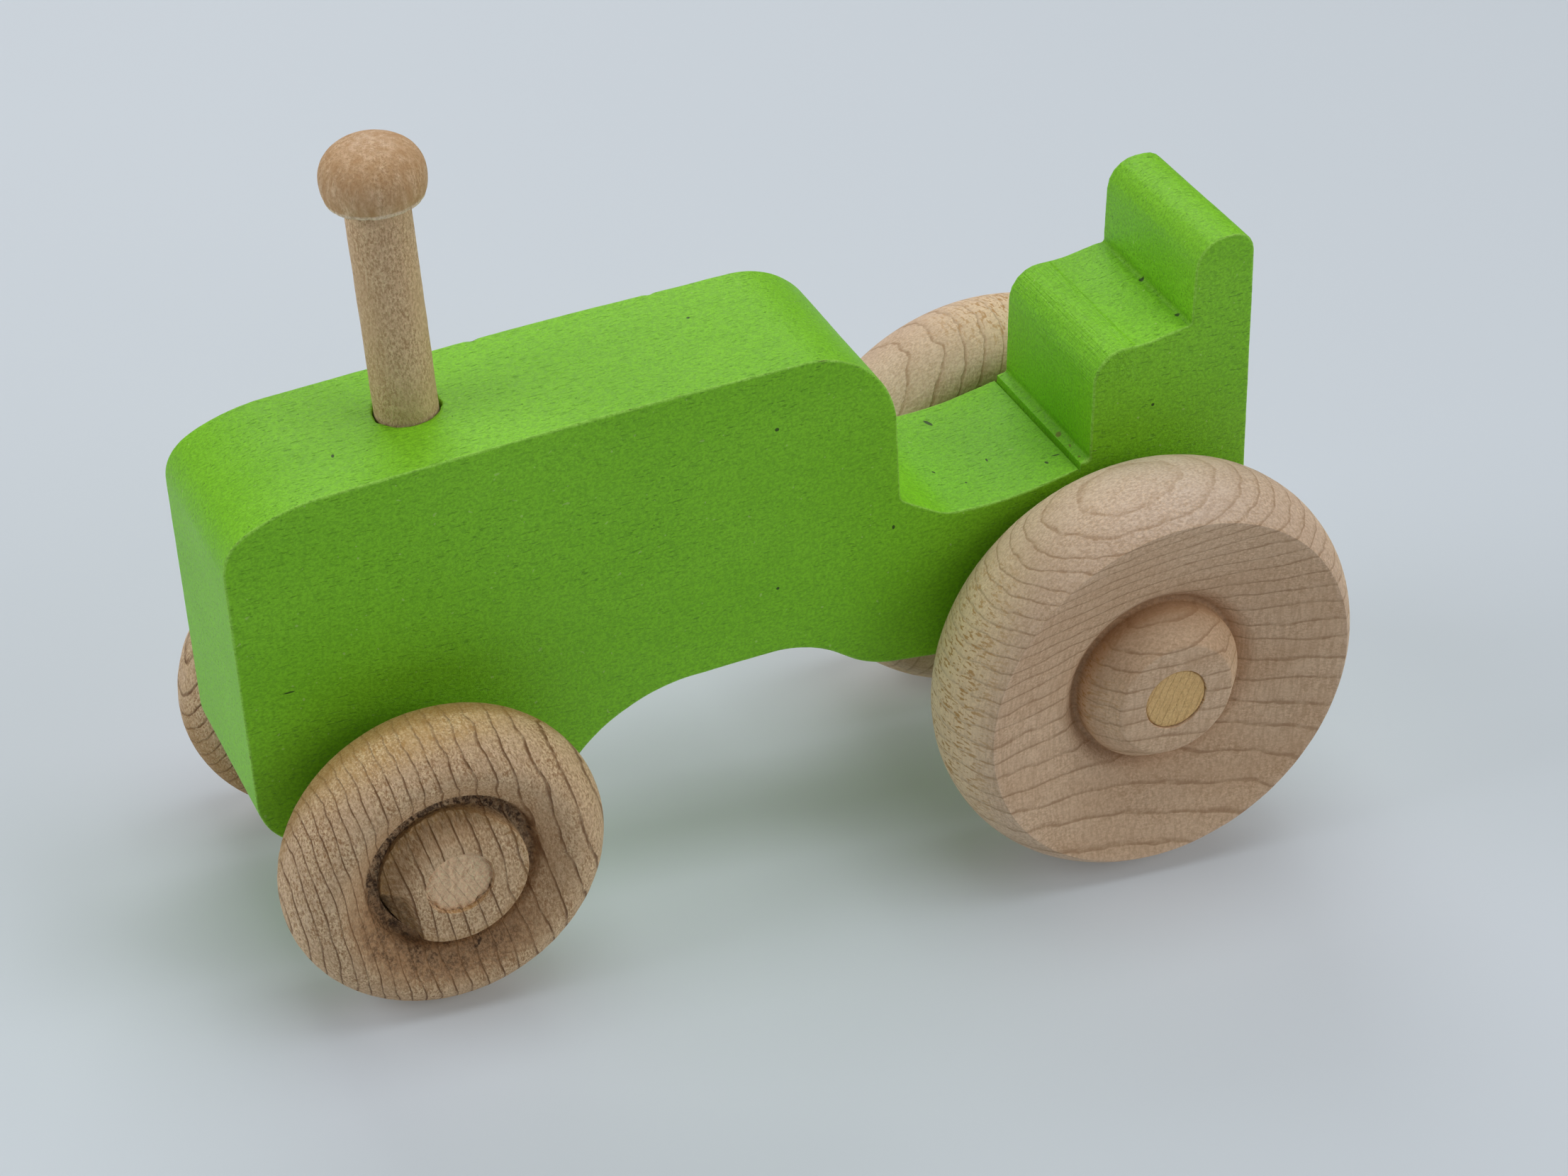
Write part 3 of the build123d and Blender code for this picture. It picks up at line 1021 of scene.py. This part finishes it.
def peg_hole(board, grid, rows, columns):
    """Replaces a square of the strip with a fan round the peg's hole, and lines the hole."""
    middle_column = [points[0, 1] for points, wear_and_shading in columns]
    on_hood = np.flatnonzero((np.abs(rows[:, 0] - PEG_ALONG) < 7.6) & (rows[:, 1] > 50))
    across = [j for j, y in enumerate(middle_column) if -9.1 < y < 6.1]
    i0, i1, j0, j1 = on_hood[0], on_hood[-1], across[0], across[-1]
    loop = [grid[i][j0] for i in range(i0, i1)] + [grid[i1][j] for j in range(j0, j1)]
    loop += [grid[i][j1] for i in range(i1, i0, -1)] + [grid[i0][j] for j in range(j1, j0, -1)]
    outer = np.array([board.points[k] for k in loop])
    centre = np.array((PEG_ALONG, PEG_SIDE))
    angles = np.arctan2(outer[:, 1] - centre[1], outer[:, 0] - centre[0])
    directions = np.column_stack([np.cos(angles), np.sin(angles)])
    far = np.hypot(*(outer[:, :2] - centre).T)
    ragged = 0.10 * rough(np.column_stack([directions * 3, np.zeros(len(angles))]), 1.0, 3.0)
    split = ease(0.2, 0.05, np.abs(angles - 0.3)) + ease(0.2, 0.05, np.abs(np.abs(angles) - 2.9))

    def ring(radius, drop, crease_shade):
        place = centre + directions * radius[:, None]
        height = hood_height(place[:, 0]) - drop
        return board.add(np.column_stack([place, height]), 0.0, crease_shade)

    rings = []
    # the hole's rim and walls darker as painted shade, and the splits beside it marked too
    for widening, drop in ((0.0, 0.35), (0.07, 0.12), (0.22, 0.0)):
        radius = HOLE_RADIUS + widening + ragged + 0.25 * split
        rings.append(ring(radius, drop, 0.6 if drop else 0.25))
    for share in (0.10, 0.22, 0.36, 0.52, 0.70, 0.86):
        radius = HOLE_RADIUS + 0.3 + (far - HOLE_RADIUS - 0.3) * share
        rings.append(ring(radius, 0.0, split * (share < 0.15)))
    rings.append(loop)
    for lower, upper in zip(rings, rings[1:]):
        board.band(lower, upper)
    forward, sideways = math.radians(PEG_FORWARD_LEAN), math.radians(PEG_SIDE_LEAN)
    lean = np.array((math.tan(forward), -math.tan(sideways)))
    wall = rings[0]
    for depth in (5.0, PEG_DEPTH):
        place = centre + directions * HOLE_RADIUS - lean * depth
        height = np.full(len(angles), hood_height(PEG_ALONG) - depth)
        lower = board.add(np.column_stack([place, height]), 0.0, 0.8)
        board.band(lower, wall)
        wall = lower
    board.faces.append(tuple(wall))
    return {(i, j) for i in range(i0, i1) for j in range(j0, j1)}


BORE_POINTS = 64


def bore_circle(axle):
    """A bore's rim in (U, V)."""
    centre = to_board(axle)[[0, 2]]
    angles = np.arange(BORE_POINTS) * 2 * math.pi / BORE_POINTS
    return centre + BORE_RADIUS * np.column_stack([np.cos(angles), np.sin(angles)])


def side_face(board, rim, side, spacing):
    """Fills one side of the board with triangles. Returns the points round each bore."""
    outline = np.array([board.points[k] for k in rim])[:, [0, 2]]
    step = np.roll(outline, -1, axis=0) - np.roll(outline, 1, axis=0)
    inward = np.column_stack([step[:, 1], -step[:, 0]]) / np.linalg.norm(step, axis=1)[:, None]
    inner = outline + inward * 0.4
    circles = [bore_circle(REAR_AXLE), bore_circle(FRONT_AXLE)]
    low, high = outline.min(0), outline.max(0)
    u, v = np.meshgrid(
        np.arange(low[0], high[0], spacing), np.arange(low[1], high[1], spacing * 0.866)
    )
    u[1::2] += spacing / 2  # shifted rows, for nearly equal triangles
    lattice = np.column_stack([u.ravel(), v.ravel()])
    loose = []
    for points, gap in ((inner, 0.37), (lattice, 0.95)):
        points = points[inside(outline, points)]
        fixed = np.concatenate([outline] + circles)
        apart = np.hypot(*(points[:, None] - fixed[None]).transpose(2, 0, 1)).min(1)
        points = points[apart > gap]
        for circle in circles:
            points = points[~inside(circle, points)]
        loose.append(points)
    flat = np.concatenate([outline] + circles + loose)
    starts = np.cumsum([0, len(outline), BORE_POINTS, BORE_POINTS])
    loops = [list(range(starts[k], starts[k + 1])) for k in range(3)]
    only_inside = 1  # triangles inside the loops
    result = geometry.delaunay_2d_cdt(
        [Vector(p) for p in flat], [], [loops[0][::-1], loops[1], loops[2]], only_inside, 1e-5
    )
    found, triangles, origins, owners = result[0], result[2], result[3], result[5]
    places = {}
    numbers = []
    for point, origin in zip(found, origins):
        from_rim = [k for k in origin if k < len(outline)]
        if from_rim:
            numbers.append(rim[from_rim[0]])
            continue
        number = board.add([(point[0], side * BOARD_HALF, point[1])], 0.0, 0.0)[0]
        places.update({k: number for k in origin})
        numbers.append(number)
    for triangle, owner in zip(triangles, owners):
        if max(owner) == 0:
            board.faces.append(tuple(numbers[k] for k in triangle))
    return [[places[k] for k in loop] for loop in loops[1:]]


def aligned(faces):
    """The faces with directions that agree, found by walking from neighbour to neighbour."""
    by_edge = {}
    for number, face in enumerate(faces):
        for k, corner in enumerate(face):
            pair = (corner, face[(k + 1) % len(face)])
            by_edge.setdefault(frozenset(pair), []).append((number, pair))
    flipped = [None] * len(faces)
    flipped[0] = False
    waiting = [0]
    while waiting:
        number = waiting.pop()
        face = faces[number]
        for k, corner in enumerate(face):
            pair = (corner, face[(k + 1) % len(face)])
            for other, other_pair in by_edge[frozenset(pair)]:
                if flipped[other] is None:
                    flipped[other] = flipped[number] != (pair == other_pair)
                    waiting.append(other)
    return [tuple(f)[::-1] if flip else tuple(f) for f, flip in zip(faces, flipped)]


def body(material):
    rows, outward, inner = board_rows()
    columns = board_columns(rows, outward)
    board = Board()
    by_column = [board.add(points, wear_and_shading, inner) for points, wear_and_shading in columns]
    grid = list(zip(*by_column))
    hole = peg_hole(board, grid, rows, columns)
    for i in range(len(rows)):
        n = (i + 1) % len(rows)
        for j in range(len(columns) - 1):
            if (i, j) not in hole:
                board.faces.append((grid[i][j], grid[n][j], grid[n][j + 1], grid[i][j + 1]))
    right = side_face(board, by_column[0], RIGHT, 1.5)
    left = side_face(board, by_column[-1], LEFT, 1.2)
    for lower, upper in zip(right, left):
        board.band(lower, upper)
    faces = aligned(board.faces)

    flat = np.array(board.points)
    on_seat = ease(43.4, 44.8, flat[:, 2]) * (flat[:, 2] < 46.5)
    flat[:, 2] -= SEAT_HOLLOW * ease(6.0, 0.0, np.abs(flat[:, 0] - SEAT_MIDDLE)) * on_seat
    points = from_board(flat[:, 0], flat[:, 1], flat[:, 2])
    faces = facing_out(points, faces)
    normals = normals_of(points, faces)
    broad = rough(flat * (0.6, 1, 1), 0.085, 2.0)
    fine = rough(flat * (0.4, 1, 1), 0.6, 2.0)
    crease_shade, edge = np.array(board.crease_shade), np.array(board.edge)
    # concave corners sink a little here, and the same mask darkens them in the paint as painted
    # shade
    points = points + normals * (0.055 * broad + 0.02 * fine - 0.05 * crease_shade)[:, None]
    rasped = ease(39.0, 40.5, flat[:, 2]) * (flat[:, 0] > -4) * (flat[:, 0] < 4)
    attributes = {"timber": flat, "edge": edge, "crease_shade": crease_shade, "sanded": rasped}
    return make_piece(
        "painted_body", points, faces, "chassis", "body", material, attributes
    )


# ---------------- stage, camera and assembly


def floor():
    mesh = bpy.data.meshes.new("floor")
    size = 3.0
    corners = [(-size, -size, 0), (size, -size, 0), (size, size, 0), (-size, size, 0)]
    mesh.from_pydata(corners, [], [(0, 1, 2, 3)])
    mesh.materials.append(floor_paper())
    new_object("floor", mesh)


def camera():
    """A long lens that looks down a little on the toy's left side and hood."""
    distance = 522.223 * MM
    azimuth, elevation, roll = np.radians((153.477, 32.851, 4.541))
    target = np.array((-4.130, 0, 38.176)) * MM
    data = bpy.data.cameras.new("camera")
    data.lens = 85.12
    data.sensor_width = 36.0
    data.clip_start = 0.01
    back = np.array((
        math.sin(azimuth) * math.cos(elevation),
        -math.cos(azimuth) * math.cos(elevation),
        math.sin(elevation),
    ))
    level = unit(np.cross(-back, (0, 0, 1)))
    upright = np.cross(level, -back)
    right = level * math.cos(roll) + upright * math.sin(roll)
    up = -level * math.sin(roll) + upright * math.cos(roll)
    place = target + back * distance
    rows = [(right[k], up[k], back[k], place[k]) for k in range(3)]
    view = new_object("camera", data)
    view.matrix_world = Matrix(rows + [(0, 0, 0, 1)])
    bpy.context.scene.camera = view


# Direction from the toy and power of each light.
LIGHTS = {
    "overhead": ((0, 0, 1), 4.0),
    "nose_side": ((0.87, -0.14, 0.47), 5.3),
    "tail_side": ((-0.5, 0, 0.87), 2.4),
    "behind": ((-0.1, -0.8, 0.6), 4.2),
    "tail_left_low": ((-0.62, 0.62, 0.48), 4.0),
}
LIGHT_DISTANCE = 1.2
LIGHT_SIZE = 0.8
LIGHT_TARGET = Vector((0, 0, 0.03))


def area_light(name, direction, power):
    """A large soft square light that shines at the toy from a direction."""
    data = bpy.data.lights.new(name, "AREA")
    data.size = LIGHT_SIZE
    data.energy = power
    away = Vector(unit(direction) * LIGHT_DISTANCE)
    light = new_object(name, data)
    light.location = away + LIGHT_TARGET
    light.rotation_euler = away.to_track_quat("Z", "Y").to_euler()


def studio():
    """A light tent open towards the camera: soft light from above, behind and round the ends."""
    world = bpy.data.worlds.new("studio")
    world.use_nodes = True
    background = world.node_tree.nodes["Background"]
    background.inputs["Color"].default_value = (0.97, 1.0, 1.03, 1)
    background.inputs["Strength"].default_value = 0.03
    bpy.context.scene.world = world
    bpy.context.scene.view_settings.view_transform = "Standard"
    for name, (direction, power) in LIGHTS.items():
        area_light(name, direction, power)


# Wheels on each side: the rear and front wheels' grain, in degrees from straight up towards the
# nose, the rear wheel's ring spacing, and the seed of its unevenness.
WHEEL_SIDES = (
    (LEFT, "left", 90.5, 16, 3.0, 11),
    (RIGHT, "right", -20, -20, 2.0, 23),
)
FRONT_RING_SPACING = 2.2


def dowels():
    dowel(
        "rear_axle", "rear_wheels", rear_dowel_wood(), REAR_AXLE,
        (1, 0, 0.3), seed=3, tear=0.03, flare=0.0,
    )
    dowel(
        "front_axle", "front_wheels", front_dowel_wood(), FRONT_AXLE,
        (1, 0, -0.6), seed=7, tear=0.2, flare=0.3,
    )


def wheels():
    rear_wood, front_wood = rear_wheel_wood(), front_wheel_wood()
    for side, side_name, rear_grain, front_grain, spacing, seed in WHEEL_SIDES:
        wheel(
            "rear_wheel_" + side_name, REAR_WHEEL, rear_wood, side,
            turn(rear_grain), turn(rear_grain + 90), spacing, seed,
        )
        wheel(
            "front_wheel_" + side_name, FRONT_WHEEL, front_wood, side,
            turn(front_grain), turn(front_grain - 90), FRONT_RING_SPACING, seed + 5,
        )


body(green_paint())
peg(peg_wood())
dowels()
wheels()
floor()
studio()
camera()
